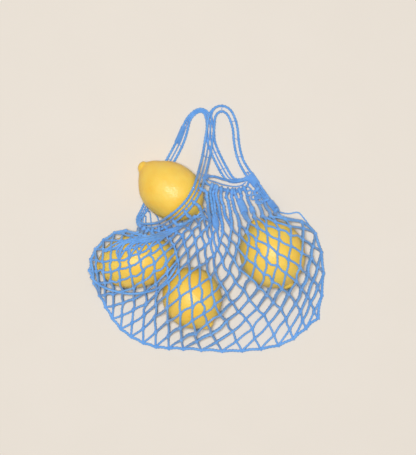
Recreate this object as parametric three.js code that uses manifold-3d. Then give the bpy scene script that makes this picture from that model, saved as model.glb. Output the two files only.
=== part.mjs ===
// A string bag with four lemons, lying on its back with its handles laid out above it.
//
// Units are millimetres. The floor is z = 0, X runs across the bag and Y from its foot to its handles.
// The origin is the middle of the footprint. The bag's body is one solid: the draped net together with
// the three lemons it hides. The fourth lemon looks out of the mouth and is a solid of its own.

import * as THREE from "three";
import { mergeVertices } from "three/addons/utils/BufferGeometryUtils.js";
import Module from "manifold-3d";

const wasm = await Module();
wasm.setup();

// ---- Driving sizes ------------------------------------------------------------------------------

const CORD = 2.2; // thickness of the net's cotton cord
const STRAP = 2.4; // thickness of the handle tape and of the hem
const GAP = 0.35; // clearance between pieces that touch
const TAPE_CLEARANCE = 1.1; // the same under stiff tape, which bridges the round of the peel
const FREE_HEIGHT = 8; // tape lower than this eases down to the floor
const CORNER_SHARE = 0.45; // share of its height that the front tape keeps at the bag's corners
const CORNER_REACH = 0.08; // share of the tape's length over which it comes down to them
const COLUMNS = 18; // meshes round the front of the net
const ROWS = 12; // half meshes from the gathered top to the foot
const NET_CLEARANCE = 0.8 * CORD; // between a lemon and the openings of the net over it
const RIDGE = 0.65 * CORD; // how far the cords stand above the openings' rims
const RIM_INSET = 0.75 * CORD; // how far an opening's rim lies inside the lines of its cords
const MOST_INSET = 0.42; // and the most that may be, as a share of the way to the opening's middle
const DIP = 0.25 * CORD; // how far an opening sinks below its rim at the least
const MOUTH_REACH = 20; // drape of the mouth's lemon over which the openings stay shallow panels
const EDGE_HEIGHT = 0.6 * CORD; // least height of the net, where its front meets its back
const EDGE_COLUMNS = 0.7; // slack net eases down to that within this many meshes of its edge
const SLACK = 6; // height of the drape over the edge at which the net there is quite slack
const TAUT = 26; // and the height at which a lemon's end holds the edge right up

// Lemons: centre on the floor plan, length, diameter, and the way the nipple points, in degrees.
const LEMONS = {
  mouth: { x: -35.5, y: 36.5, length: 76, diameter: 56, turn: 146 },
  left: { x: -70, y: -32.5, length: 84, diameter: 54, turn: 9 },
  middle: { x: -14.5, y: -69, length: 69, diameter: 58, turn: -60 },
  right: { x: 64.5, y: -25.5, length: 77, diameter: 64, turn: 117 },
};
const LEMON_BASE = STRAP + GAP; // every lemon lies on the back of the bag

// The net's run from its gathered top to its foot: eight lines spread evenly over the columns,
// each given by five points spread evenly over the rows.
const FAN = [
  [[-68, -5], [-86, -3], [-102, -12], [-113, -26], [-116, -42]],
  [[-57, -8], [-67, -18], [-80, -35], [-93, -54], [-104, -74]],
  [[-32, 0], [-37, -18], [-49, -44], [-66, -74], [-85, -102]],
  [[-6, 11], [-10, -13], [-20, -43], [-36, -79], [-55, -118]],
  [[11, -2], [13, -32], [9, -65], [-3, -94], [-19, -121]],
  [[31, 3], [42, -26], [49, -58], [45, -90], [32, -123]],
  [[51, 11], [69, -12], [83, -42], [87, -75], [78, -115]],
  [[71, 12], [102, 2], [114, -24], [116, -56], [111, -90]],
];

// Where the net hangs from the rim, at seventeen places spread evenly over the columns: just clear of
// the lower edge of the tape and of the front hem.
const RIM = [
  [-67.6, 0.2], [-64, -1.9], [-59, -4.4], [-53, -5.8], [-44, -4.3], [-34, 0.6], [-22.4, 9], [-10.2, 22],
  [-1, 41], [4, 41.9], [9.3, 39.7], [18.1, 37], [26.6, 35.6], [35, 36.6], [43.6, 42.3], [53.6, 30.8],
  [67, 15],
];

// The tape that edges the mouth and makes both handles: plan position and width.
const FRONT_TAPE = [
  [-66.5, 3.6, 5.5], [-57, 0.8, 9], [-46, 2.5, 9.5], [-36, 8, 10], [-26, 15.5, 10], [-17, 25, 10],
  [-10, 37, 10], [-6.5, 48, 9.6], [-3.5, 60, 9.6], [-0.5, 73, 9.6], [1.5, 86, 9.6], [3.5, 99, 9.2],
  [5, 111, 8.5], [9, 118.5, 7], [15.5, 120.3, 5.4], [21.5, 117.5, 6], [25.5, 110, 6.5], [28.2, 99, 6.8],
  [29.3, 87, 7], [31, 77, 7], [34, 67, 7], [39, 58, 7.5], [44.5, 50, 7.6], [51.5, 40.5, 6.6],
  [59, 30.5, 5.6], [66, 21.5, 5], [70.5, 16.5, 4.4],
];
const BACK_TAPE = [
  [-68, 9.3, 5.5], [-63.5, 17, 7], [-58, 27, 8.5], [-51, 40, 9.5], [-44, 53, 9.6], [-37.5, 65.5, 9.6],
  [-31, 77.5, 9.6], [-26, 88, 9], [-22.5, 97.5, 8], [-19, 107.5, 6], [-13.5, 114.5, 5],
  [-7, 117.7, 5], [-1.5, 115.5, 5.5], [1.5, 108, 7], [2.5, 98, 8.5], [4, 87, 9.4], [7.5, 76.5, 9.6],
  [12.5, 66, 9.6], [18.5, 55, 9.6], [23.5, 46, 9.6], [26, 41, 9.6],
];
const FRONT_HEM = [
  [0.9, 48.6, 9.4], [7, 47.4, 10.8], [15, 45, 11.2], [23, 43.4, 11.6], [30, 43, 11.2], [36.6, 45.2, 8.6],
];

// The back of the net that shows in the mouth, round the lemon there.
const MOUTH_FLOOR = [
  [-60, 9], [-54, 22], [-48, 33.5], [-41, 46], [-34.5, 57.5], [-24, 52], [-15, 46], [-13.5, 38.5],
  [-21.5, 29.5], [-29, 20.5], [-38.5, 14], [-47.5, 8.5],
];

// ---- Curves -------------------------------------------------------------------------------------

// A smooth line through the points, at s from 0 to points.length - 1.
function along(points, s) {
  const last = points.length - 1;
  const i = Math.min(Math.max(Math.floor(s), 0), last - 1);
  const t = s - i;
  const beyond = (a, b) => a.map((value, k) => 2 * value - b[k]);
  const p1 = points[i];
  const p2 = points[i + 1];
  const p0 = points[i - 1] ?? beyond(p1, p2);
  const p3 = points[i + 2] ?? beyond(p2, p1);
  return p1.map((value, k) => {
    const bend = 2 * p0[k] - 5 * value + 4 * p2[k] - p3[k];
    const lean = 3 * value - p0[k] - 3 * p2[k] + p3[k];
    return 0.5 * (2 * value + (p2[k] - p0[k]) * t + bend * t * t + lean * t ** 3);
  });
}

// The net's plan position at a column and a row. Row -1 is the rim, and row 0 the end of the ribs.
function fan(column, row) {
  const across = column / COLUMNS;
  const lattice = FAN.map((points) => along(points, (Math.max(row, 0) / ROWS) * (points.length - 1)));
  const here = along(lattice, across * (FAN.length - 1));
  if (row >= 0) return here;
  const rim = along(RIM, across * (RIM.length - 1));
  return here.map((value, k) => value + (rim[k] - value) * -row);
}

const smooth = (value) => {
  const t = Math.min(Math.max(value, 0), 1);
  return t * t * (3 - 2 * t);
};

// ---- Lemons and the way the net drapes over them ------------------------------------------------

const LEAVES = 0.93; // share of a lemon's half width at which the net parts from it

// Height of a slack sheet over one lemon at a plan position, from the floor. It follows the peel over
// the top, leaves it at a tangent, and comes down in a curve that flattens out.
function tent(lemon, x, y, clearance) {
  const a = lemon.length / 2 + clearance;
  const b = lemon.diameter / 2 + clearance;
  const turn = THREE.MathUtils.degToRad(lemon.turn);
  const dx = x - lemon.x;
  const dy = y - lemon.y;
  const s = (dx * Math.cos(turn) + dy * Math.sin(turn)) / a;
  const t = (dy * Math.cos(turn) - dx * Math.sin(turn)) / b;
  const middle = lemon.diameter / 2 + LEMON_BASE;
  const away = Math.hypot(s, t);
  if (away <= LEAVES) return middle + b * Math.sqrt(1 - away * away);
  const rise = Math.sqrt(1 - LEAVES * LEAVES);
  const top = middle + b * rise;
  const fall = (b * LEAVES) / rise / top;
  const past = away - LEAVES;
  return top * Math.exp(-fall * past - past * past);
}

// Height of the sheet over all the lemons: the highest wins, with soft valleys between them.
function drape(x, y, clearance) {
  const SHARPNESS = 4;
  const powers = Object.values(LEMONS).map((lemon) => tent(lemon, x, y, clearance) ** SHARPNESS);
  return powers.reduce((sum, power) => sum + power, 0) ** (1 / SHARPNESS);
}

// Radius of a lemon at a place along its axis, from -1 at the stem to 1 at the tip of the nipple.
function lemonRadius(lemon, place) {
  const b = lemon.diameter / 2;
  const body = b * Math.max(1 - Math.abs(place / 0.9) ** 2.2, 0) ** 0.55;
  const knob = (at, reach, share) => b * share * Math.sqrt(Math.max(1 - ((place - at) / reach) ** 2, 0));
  const nipple = knob(0.84, 0.16, 0.24);
  const stem = knob(-0.86, 0.12, 0.2);
  return (body ** 4 + nipple ** 4 + stem ** 4) ** 0.25;
}

// Height of a lemon's peel above a plan position, or 0 beside the lemon.
function peelHeight(lemon, x, y) {
  const turn = THREE.MathUtils.degToRad(lemon.turn);
  const dx = x - lemon.x;
  const dy = y - lemon.y;
  const place = (dx * Math.cos(turn) + dy * Math.sin(turn)) / (lemon.length / 2);
  const aside = dy * Math.cos(turn) - dx * Math.sin(turn);
  if (Math.abs(place) >= 1) return 0;
  const over = lemonRadius(lemon, place) ** 2 - aside ** 2;
  return over > 0 ? lemon.diameter / 2 + LEMON_BASE + Math.sqrt(over) : 0;
}

// A lemon as a lathed solid, lying on the back of the bag.
function lemonGeometry(lemon) {
  const STATIONS = 26;
  const SIDES = 32;
  const STEM_END = -0.98;
  const profile = [];
  for (let i = 0; i <= STATIONS; i += 1) {
    const place = STEM_END + ((1 - STEM_END) * (1 - Math.cos((Math.PI * i) / STATIONS))) / 2;
    const radius = i === 0 || i === STATIONS ? 0 : lemonRadius(lemon, place);
    profile.push(new THREE.Vector2(radius, (place * lemon.length) / 2));
  }
  const geometry = new THREE.LatheGeometry(profile, SIDES);
  geometry.rotateZ(-Math.PI / 2);
  geometry.rotateZ(THREE.MathUtils.degToRad(lemon.turn));
  geometry.translate(lemon.x, lemon.y, lemon.diameter / 2 + LEMON_BASE);
  return geometry;
}

// ---- Solids from meshes -------------------------------------------------------------------------

function solidOf(geometry) {
  const bare = geometry.clone();
  bare.deleteAttribute("normal");
  bare.deleteAttribute("uv");
  const merged = mergeVertices(bare, 1e-3);
  return new wasm.Manifold(new wasm.Mesh({
    numProp: 3,
    vertProperties: merged.attributes.position.array,
    triVerts: new Uint32Array(merged.index.array),
  }));
}

function geometryOf(solid) {
  const mesh = solid.getMesh();
  const geometry = new THREE.BufferGeometry();
  geometry.setAttribute("position", new THREE.BufferAttribute(mesh.vertProperties, 3));
  geometry.setIndex(new THREE.BufferAttribute(mesh.triVerts, 1));
  return geometry;
}

// Collects points and triangles, sharing a point that is asked for twice under one name.
class Facets {
  constructor() {
    this.points = [];
    this.triangles = [];
    this.named = new Map();
  }

  point(position, name) {
    if (name !== undefined && this.named.has(name)) return this.named.get(name);
    this.points.push(...position);
    const index = this.points.length / 3 - 1;
    if (name !== undefined) this.named.set(name, index);
    return index;
  }

  quad(a, b, c, d) {
    this.triangles.push(a, b, c, a, c, d);
  }

  geometry() {
    const geometry = new THREE.BufferGeometry();
    geometry.setAttribute("position", new THREE.Float32BufferAttribute(this.points, 3));
    geometry.setIndex(this.triangles);
    return geometry;
  }
}

// ---- Tape: both handles, the edge of the mouth and the hem --------------------------------------

const BACK_LINE = Array.from({ length: 121 }, (_, i) => along(BACK_TAPE, (i / 120) * (BACK_TAPE.length - 1)));

// How far the front tape and hem are lifted where they cross the tape of the back handle.
function crossing(x, y) {
  const near = Math.min(...BACK_LINE.map((p) => Math.hypot(p[0] - x, p[1] - y)));
  return (STRAP + GAP) * (1 - smooth((near - 11) / 9));
}

// Height of the underside of the front tape.
function frontRise(x, y) {
  const over = drape(x, y, TAPE_CLEARANCE);
  return over * smooth(over / FREE_HEIGHT) + crossing(x, y);
}

// Height of the underside of the back tape, which lies on the floor all the way.
const backRise = () => 0;

// A tape along plan points, resting on a surface, of which its ends keep a share of the height. Its top
// has three ribs, as three cords side by side.
function tapeGeometry(points, rise, steps, endShare) {
  const SECTION = [
    [-0.5, 0], [0.5, 0], [0.5, 0.6], [0.36, 1], [0.18, 0.62], [0, 1], [-0.18, 0.62], [-0.36, 1], [-0.5, 0.6],
  ];
  const STEP = 0.5;
  const facets = new Facets();
  const rings = [];
  for (let i = 0; i <= steps; i += 1) {
    const s = (i / steps) * (points.length - 1);
    const [x, y, width] = along(points, s);
    const [beforeX, beforeY] = along(points, s - 0.01);
    const [afterX, afterY] = along(points, s + 0.01);
    const side = new THREE.Vector2(beforeY - afterY, afterX - beforeX).normalize();
    const inward = Math.min(i, steps - i) / steps / CORNER_REACH;
    const share = endShare + (1 - endShare) * smooth(inward);
    rings.push(SECTION.map(([across, up]) => {
      const px = x + side.x * across * width;
      const py = y + side.y * across * width;
      const z = rise(px, py);
      const slopes = [z - rise(px + STEP, py), z - rise(px, py + STEP)].map((slope) => slope * share);
      const normal = new THREE.Vector3(...slopes, STEP).normalize();
      return facets.point(new THREE.Vector3(px, py, z * share).addScaledVector(normal, up * STRAP).toArray());
    }));
  }
  const sides = SECTION.length;
  for (let i = 0; i < steps; i += 1) {
    for (let k = 0; k < sides; k += 1) {
      const next = (k + 1) % sides;
      facets.quad(rings[i][k], rings[i][next], rings[i + 1][next], rings[i + 1][k]);
    }
  }
  const outline = SECTION.map(([across, up]) => new THREE.Vector2(across * 10, up));
  for (const [a, b, c] of THREE.ShapeUtils.triangulateShape(outline, [])) {
    facets.triangles.push(rings[0][a], rings[0][c], rings[0][b]);
    facets.triangles.push(rings[steps][a], rings[steps][b], rings[steps][c]);
  }
  return facets.geometry();
}

// ---- The bag's body -----------------------------------------------------------------------------

// Height of the net at a place of the lattice, with its lift above the rims of the openings.
function netHeight(column, row, x, y, lift) {
  const inward = Math.min(column, COLUMNS - column, (ROWS - Math.max(row, 0)) / 2);
  const over = drape(x, y, NET_CLEARANCE);
  const held = smooth((over - SLACK) / (TAUT - SLACK));
  const share = held + (1 - held) * smooth(inward / EDGE_COLUMNS);
  return EDGE_HEIGHT + Math.max(over - EDGE_HEIGHT, CORD) * share + lift;
}

// Height of what shows through an opening: the peel of a lemon in the bag, or the back of the net. Over
// the lemon in the mouth an opening is only a shallow panel.
function shownHeight(x, y) {
  const { mouth, ...inside } = LEMONS;
  if (tent(mouth, x, y, NET_CLEARANCE) > MOUTH_REACH) return Infinity;
  return Math.max(CORD, ...Object.values(inside).map((lemon) => peelHeight(lemon, x, y)));
}

// The draped net as one closed solid with the lemons inside it. Its cords stand up as ridges, and each
// opening is sunk to what shows through it.
function bagGeometry() {
  const facets = new Facets();
  const HALF = 2 * COLUMNS;

  const vertex = (half, row) => {
    const [x, y] = fan(half / 2, row);
    const name = `${half.toFixed(2)},${row.toFixed(2)}`;
    return facets.point([x, y, netHeight(half / 2, row, x, y, RIDGE)], name);
  };

  // An opening, given by its corners on the lattice, anticlockwise as seen from above. It is sunk to
  // what shows through it, or is a shallow panel.
  const opening = (corners, panel) => {
    const loop = [];
    corners.forEach(([half, row], k) => {
      const [nextHalf, nextRow] = corners[(k + 1) % corners.length];
      loop.push([half, row]);
      const long = Math.abs(nextHalf - half) + Math.abs(nextRow - row) > 1;
      if (long) loop.push([(half + nextHalf) / 2, (row + nextRow) / 2]);
    });
    const outer = loop.map(([half, row]) => vertex(half, row));
    const middle = [0, 1].map((k) => corners.reduce((sum, corner) => sum + corner[k], 0) / corners.length);
    const [cx, cy] = fan(middle[0] / 2, middle[1]);
    const bottom = (half, row, x, y) => {
      const shallow = netHeight(half / 2, row, x, y, -DIP);
      return panel ? shallow : Math.min(shallow, shownHeight(x, y));
    };
    const rim = [];
    const base = [];
    for (const [half, row] of loop) {
      const [x, y] = fan(half / 2, row);
      const inset = Math.min(RIM_INSET / Math.hypot(cx - x, cy - y), MOST_INSET);
      const px = x + (cx - x) * inset;
      const py = y + (cy - y) * inset;
      rim.push(facets.point([px, py, netHeight(half / 2, row, px, py, 0)]));
      base.push(facets.point([px, py, bottom(half, row, px, py)]));
    }
    const sunk = facets.point([cx, cy, bottom(...middle, cx, cy)]);
    outer.forEach((here, k) => {
      const next = (k + 1) % outer.length;
      facets.quad(here, outer[next], rim[next], rim[k]);
      facets.quad(rim[k], rim[next], base[next], base[k]);
      facets.triangles.push(base[k], base[next], sunk);
    });
  };

  for (let row = 0; row <= ROWS; row += 1) {
    for (let half = 0; half <= HALF; half += 1) {
      if ((half + row) % 2 === 0) continue;
      const up = [half, row - 1];
      const left = [half - 1, row];
      const down = [half, row + 1];
      const right = [half + 1, row];
      opening([up, left, down, right].filter(([h, r]) => h >= 0 && h <= HALF && r >= 0 && r <= ROWS), false);
    }
  }
  // The gathered ribs between the lattice and the rim.
  for (let half = 0; half < HALF; half += 1) {
    opening([[half, -1], [half, -0.5], [half, 0], [half + 1, 0], [half + 1, -0.5], [half + 1, -1]], true);
  }

  // The walls down to the floor and the flat underside, round the same outline.
  const outline = [];
  const edge = (from, to, steps) => {
    for (let i = 0; i < steps; i += 1) {
      outline.push([from[0] + ((to[0] - from[0]) * i) / steps, from[1] + ((to[1] - from[1]) * i) / steps]);
    }
  };
  edge([0, -1], [0, 0], 2);
  edge([0, 0], [0, ROWS], ROWS);
  edge([0, ROWS], [HALF, ROWS], HALF);
  edge([HALF, ROWS], [HALF, 0], ROWS);
  edge([HALF, 0], [HALF, -1], 2);
  edge([HALF, -1], [0, -1], HALF);
  const plan = outline.map(([half, row]) => new THREE.Vector2(...fan(half / 2, row)));
  const top = outline.map(([half, row]) => vertex(half, row));
  const foot = plan.map((p) => facets.point([p.x, p.y, 0]));
  foot.forEach((here, k) => {
    const next = (k + 1) % foot.length;
    facets.quad(here, foot[next], top[next], top[k]);
  });
  for (const [a, b, c] of THREE.ShapeUtils.triangulateShape(plan, [])) {
    facets.triangles.push(foot[a], foot[c], foot[b]);
  }
  return facets.geometry();
}

// Room for the lemon in the mouth: its own ellipsoid, a little larger all round.
function pocketGeometry(lemon) {
  const FACETING = 1.012; // makes up for the flats of a faceted ball
  const geometry = new THREE.SphereGeometry(1, 40, 24);
  geometry.rotateX(Math.PI / 2);
  geometry.scale(
    (lemon.length / 2 + GAP) * FACETING,
    (lemon.diameter / 2 + GAP) * FACETING,
    (lemon.diameter / 2 + GAP) * FACETING,
  );
  geometry.rotateZ(THREE.MathUtils.degToRad(lemon.turn));
  geometry.translate(lemon.x, lemon.y, lemon.diameter / 2 + LEMON_BASE);
  return geometry;
}

function mouthFloorGeometry() {
  const outline = new THREE.Shape(MOUTH_FLOOR.map(([x, y]) => new THREE.Vector2(x, y)));
  return new THREE.ExtrudeGeometry(outline, { depth: CORD, bevelEnabled: false });
}

// ---- Scene graph --------------------------------------------------------------------------------

const cotton = new THREE.MeshStandardMaterial({ color: 0x629edc, roughness: 0.85, metalness: 0 });
const tape = new THREE.MeshStandardMaterial({ color: 0x5a93d2, roughness: 0.85, metalness: 0 });
const peel = new THREE.MeshStandardMaterial({ color: 0xffd262, roughness: 0.45, metalness: 0 });

function piece(name, geometry, material) {
  geometry.computeVertexNormals();
  const mesh = new THREE.Mesh(geometry, material);
  mesh.name = name;
  return mesh;
}

const bag = solidOf(bagGeometry()).subtract(solidOf(pocketGeometry(LEMONS.mouth)));

const model = new THREE.Group();
model.add(piece("net_bag", geometryOf(bag), cotton));
model.add(piece("net_back", mouthFloorGeometry(), cotton));
model.add(piece("handle_front", tapeGeometry(FRONT_TAPE, frontRise, 84, CORNER_SHARE), tape));
model.add(piece("handle_back", tapeGeometry(BACK_TAPE, backRise, 64, 1), tape));
model.add(piece("hem_front", tapeGeometry(FRONT_HEM, frontRise, 14, 1), tape));
model.add(piece("lemon_mouth", lemonGeometry(LEMONS.mouth), peel));

export default model;
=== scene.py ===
# %% [markdown]
# # A string bag of lemons
#
# A shopping bag knotted from blue cotton cord lies on its back on a pale floor. It holds three lemons, and
# a fourth looks out of its mouth. Such a bag is a tube of open mesh, gathered at its mouth onto a hem and
# two handles, and every line of it is a cord that goes somewhere.
#
# So this lesson makes no sheets. It lays the net out as a grid, drapes the grid over the lemons with one
# height function, and sweeps a twisted cord along every line of it.

import math

import bpy
import numpy as np
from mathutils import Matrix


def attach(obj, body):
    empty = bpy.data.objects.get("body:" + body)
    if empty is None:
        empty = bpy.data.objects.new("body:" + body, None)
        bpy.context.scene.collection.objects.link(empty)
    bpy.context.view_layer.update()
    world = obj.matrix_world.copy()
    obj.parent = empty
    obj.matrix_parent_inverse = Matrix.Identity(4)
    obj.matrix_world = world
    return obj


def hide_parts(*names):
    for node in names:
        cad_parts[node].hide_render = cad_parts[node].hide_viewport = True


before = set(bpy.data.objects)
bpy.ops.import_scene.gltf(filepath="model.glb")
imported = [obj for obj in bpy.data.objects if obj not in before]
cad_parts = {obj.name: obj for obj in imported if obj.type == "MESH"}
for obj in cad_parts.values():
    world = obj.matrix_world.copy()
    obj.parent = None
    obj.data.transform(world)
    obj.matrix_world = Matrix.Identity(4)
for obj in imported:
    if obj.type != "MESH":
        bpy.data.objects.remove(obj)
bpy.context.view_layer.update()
scene = bpy.context.scene
MM = 0.001  # the bag is laid out in millimetres, and Blender works in metres

# %% [markdown]
# ## The camera
#
# Without a hand to hold it the bag can't stand, so it lies, and the camera looks straight down at it. A
# long lens from high up keeps the tall lemons from leaning outwards, as a wide one would make them.

# %% A long lens, straight above
CAMERA = (0.001, 0.0005, 2.4)  # where it is, in metres
FIELD_HEIGHT = 0.455  # height of the picture, measured on the floor

bpy.ops.object.camera_add(location=CAMERA, rotation=(0, 0, 0))
scene.camera = bpy.context.object
scene.camera.name = "camera"
lens = scene.camera.data
lens.sensor_fit = "VERTICAL"
lens.lens = lens.sensor_height * CAMERA[2] / FIELD_HEIGHT
print(f"camera: {lens.lens:.0f} mm lens, {CAMERA[2]} m up")

# %% [markdown]
# ## Sizes
#
# Everything follows from the cord's thickness, the count of meshes, the lemons, and a few given lines
# on the floor plan, with X across the bag and Y from its foot to its handles.

# %% Cord, meshes and lemons
CORD = 2.2  # thickness of the net's cord
THREAD = 0.7  # thickness of the sewing thread
COLUMNS = 18  # meshes across the front
ROWS = 12  # half meshes from the gathered top to the foot
NET_CLEARANCE = 1.5  # from the peel to the middle of a cord that lies on it
FLOOR_CORD = CORD / 2 + 0.1  # height of the middle of a cord on the floor
STRAP = 2.4  # thickness of a handle
GAP = 0.35  # play between two things that lie on each other
LEMON_BASE = STRAP + GAP  # the lemons lie on the back of the bag

LEMONS = {  # tip: how far the nipple is drawn out, and how far to the side
    "mouth": dict(x=-35.5, y=36.5, length=76, diameter=56, turn=146, tip=(3, -4.4)),
    "left": dict(x=-70, y=-32.5, length=84, diameter=54, turn=9, tip=(0, 0)),
    "middle": dict(x=-14.5, y=-69, length=69, diameter=58, turn=-60, tip=(0, 0)),
    "right": dict(x=64.5, y=-25.5, length=77, diameter=64, turn=117, tip=(0, 0)),
}
print(f"cord: {CORD} mm thick; lemons: {', '.join(LEMONS)}")

# %% The net from its gathered top to its foot, in eight lines of five points, and its mouth
FAN = np.array([
    [[-68, -5], [-86, -3], [-102, -12], [-113, -26], [-116, -42]],
    [[-57, -8], [-67, -18], [-80, -35], [-93, -54], [-104, -74]],
    [[-32, 0], [-37, -18], [-49, -44], [-66, -74], [-85, -102]],
    [[-6, 11], [-10, -13], [-20, -43], [-36, -79], [-55, -118]],
    [[11, -2], [13, -32], [9, -65], [-3, -94], [-19, -121]],
    [[31, 3], [42, -26], [49, -58], [45, -90], [32, -123]],
    [[51, 11], [69, -12], [83, -42], [87, -75], [78, -115]],
    [[71, 12], [102, 2], [114, -24], [116, -56], [111, -90]],
], float)
FRONT_RIM = np.array([
    [-67.6, 0.2], [-64, -1.9], [-59, -4.4], [-53, -5.8], [-44, -4.3], [-34, 0.6], [-22.4, 9], [-10.2, 22],
    [-1, 41], [4, 41.9], [9.3, 39.7], [18.1, 37], [26.6, 35.6], [35, 36.6], [43.6, 42.3], [53.6, 30.8],
    [67, 15],
])
BACK_RIM = np.array([
    [-67, 6], [-63.6, 10.5], [-60.4, 16], [-57, 21.5], [-53.6, 27], [-50, 33], [-46.2, 39.5], [-42.3, 46],
    [-27, 44], [-10, 41.5], [6, 40], *FRONT_RIM[11:],
])
print(f"net: {COLUMNS} meshes across, {ROWS // 2} deep")

# %% The handles and the hem: plan position and width
FRONT_TAPE = np.array([
    [-66.5, 3.6, 5.5], [-57, 0.8, 9], [-46, 2.5, 9.5], [-36, 8, 10], [-26, 15.5, 10], [-17, 25, 10],
    [-10, 37, 10], [-6.5, 48, 9.6], [-3.5, 60, 9.6], [-0.5, 73, 9.6], [1.5, 86, 9.6], [3.5, 99, 9.2],
    [5, 111, 8.6], [9, 117.2, 8.2], [15.2, 119.3, 7.8], [21.2, 116.4, 7.6], [25.3, 109.4, 7.2],
    [28.2, 99, 7], [29.3, 87, 7], [31, 77, 7], [34, 67, 7], [39, 58, 7.5], [44.5, 50, 7.6],
    [51.5, 40.5, 6.6], [59, 30.5, 5.6], [66, 21.5, 5], [70.5, 16.5, 4.4],
])
BACK_TAPE = np.array([
    [-68, 9.3, 5.5], [-63.5, 17, 7], [-58, 27, 8.5], [-51, 40, 9.5], [-44, 53, 9.6], [-37.5, 65.5, 9.6],
    [-31, 77.5, 9.6], [-26, 88, 9], [-22.5, 97.5, 8], [-19, 107.5, 6], [-13.5, 114.5, 5],
    [-7, 117.7, 5], [-1.5, 115.5, 5.5], [2, 108.5, 7.4], [3.4, 98, 9.1], [4, 87, 9.5], [7.5, 76.5, 9.6],
    [12.5, 66, 9.6], [18.5, 55, 9.6], [22.8, 49.6, 8.4], [28.5, 47.2, 5], [36, 48, 4], [44, 48.5, 4],
    [52, 39, 4], [60, 28.5, 3.6], [68.5, 18, 3.2],
])
FRONT_HEM = np.array([
    [-2.2, 52, 4], [1.6, 47.6, 10.2], [7, 46.1, 12.2], [15, 43.4, 12.6], [23, 41.8, 13], [30, 41.5, 12.6],
    [36.6, 44, 10.2], [42, 50.6, 4.4],
])
print("points of handles and hem:", len(FRONT_TAPE), len(BACK_TAPE), len(FRONT_HEM))

# %% [markdown]
# ## Smooth lines
#
# A soft cord has no corners. Of the smooth curves a Catmull-Rom curve is the handiest here, because it
# passes through its points, so each can be put exactly where the cord has to be.

# %% A smooth curve through points


def along(points, places):
    """A smooth curve through points, at places counted from 0 at the first point.

    The points are one row for all places, or for each place a row of its own.
    """
    points = np.asarray(points, float)
    before = 2 * points[:1] - points[1:2]
    after = 2 * points[-1:] - points[-2:-1]
    run = np.concatenate([before, points, after])
    first = np.clip(np.floor(places).astype(int), 0, len(points) - 2)
    t = (places - first)[:, None]
    each = () if points.ndim == 2 else (np.arange(len(first)),)
    p0, p1, p2, p3 = (run[(first + k, *each)] for k in range(4))
    bend = 2 * p0 - 5 * p1 + 4 * p2 - p3
    lean = 3 * p1 - p0 - 3 * p2 + p3
    return 0.5 * (2 * p1 + (p2 - p0) * t + bend * t**2 + lean * t**3)


def curve(points, finer):
    """All of the smooth curve through points, as so many times more points."""
    return along(points, np.linspace(0, len(points) - 1, finer * len(points)))


def smooth(value):
    """An even step from 0 to 1 that starts and ends gently."""
    t = np.clip(value, 0, 1)
    return t * t * (3 - 2 * t)


print("points of the hem, four times finer:", len(curve(FRONT_HEM, 4)))

# %% The plan of the net: one curve down it, and one across


def fan(column, row, rim):
    """Plan position at a column and a row of the net. Row -1 is the rim, and row 0 the first knots."""
    down = np.clip(row, 0, None) / ROWS * (FAN.shape[1] - 1)
    lines = np.stack([along(line, down) for line in FAN])
    place = along(lines, column / COLUMNS * (len(FAN) - 1))
    hung = along(rim, column / COLUMNS * (len(rim) - 1))
    return place + (hung - place) * np.clip(-row, 0, 1)[:, None]


print("middle of the foot:", fan(np.array([COLUMNS / 2]), np.array([ROWS]), FRONT_RIM).round(1))

# %% [markdown]
# ## How the net drapes
#
# Cloth simulation suits a sheet, but not a net, which slides over what it holds. One function does it here:
# over each lemon the height follows the peel, leaves it at a tangent and dies away, and the highest of the
# four wins, with soft valleys between them. At its edge the slack net comes down to the floor, except where
# the end of a lemon holds it up.

# %% Height of the net over the lemons
LEAVES = 0.93  # share of a lemon's half width at which the net parts from it
SHARPNESS = 4  # how sharply the valleys between lemons turn
EDGE_COLUMNS = 0.7  # meshes over which the slack edge comes down to the floor
SLACK = 6  # height of the drape up to which it does
TAUT = 26  # height from which the lemon holds the edge up


def tent(lemon, x, y, clearance):
    """Height of a slack sheet over one lemon."""
    a = lemon["length"] / 2 + clearance
    b = lemon["diameter"] / 2 + clearance
    turn = math.radians(lemon["turn"])
    dx, dy = x - lemon["x"], y - lemon["y"]
    s = (dx * math.cos(turn) + dy * math.sin(turn)) / a
    t = (dy * math.cos(turn) - dx * math.sin(turn)) / b
    middle = lemon["diameter"] / 2 + LEMON_BASE
    away = np.hypot(s, t)
    on_peel = middle + b * np.sqrt(np.clip(1 - away**2, 0, None))
    rise = math.sqrt(1 - LEAVES**2)
    top = middle + b * rise
    past = away - LEAVES
    return np.where(past <= 0, on_peel, top * np.exp(-b * LEAVES / rise / top * past - past**2))


def drape(x, y, clearance):
    """Height of the net over all the lemons."""
    powers = [tent(lemon, x, y, clearance) ** SHARPNESS for lemon in LEMONS.values()]
    return sum(powers) ** (1 / SHARPNESS)


def inward(column, row):
    """How many meshes in from the edge a place of the net is."""
    return np.minimum(np.minimum(column, COLUMNS - column), (ROWS - np.clip(row, 0, None)) / 2)


def front_height(x, y, column, row):
    """Height of the middle of a cord in the front of the net."""
    over = drape(x, y, NET_CLEARANCE)
    held = smooth((over - SLACK) / (TAUT - SLACK))
    share = held + (1 - held) * smooth(inward(column, row) / EDGE_COLUMNS)
    return FLOOR_CORD + np.clip(over - FLOOR_CORD, CORD, None) * share


for name, lemon in LEMONS.items():
    print(f"over the {name} lemon: {drape(lemon['x'], lemon['y'], NET_CLEARANCE):.0f} mm up")

# %% The back lies on the floor and rises to meet the front along the edge
TURN_UP = 1.3  # meshes over which it does


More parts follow.
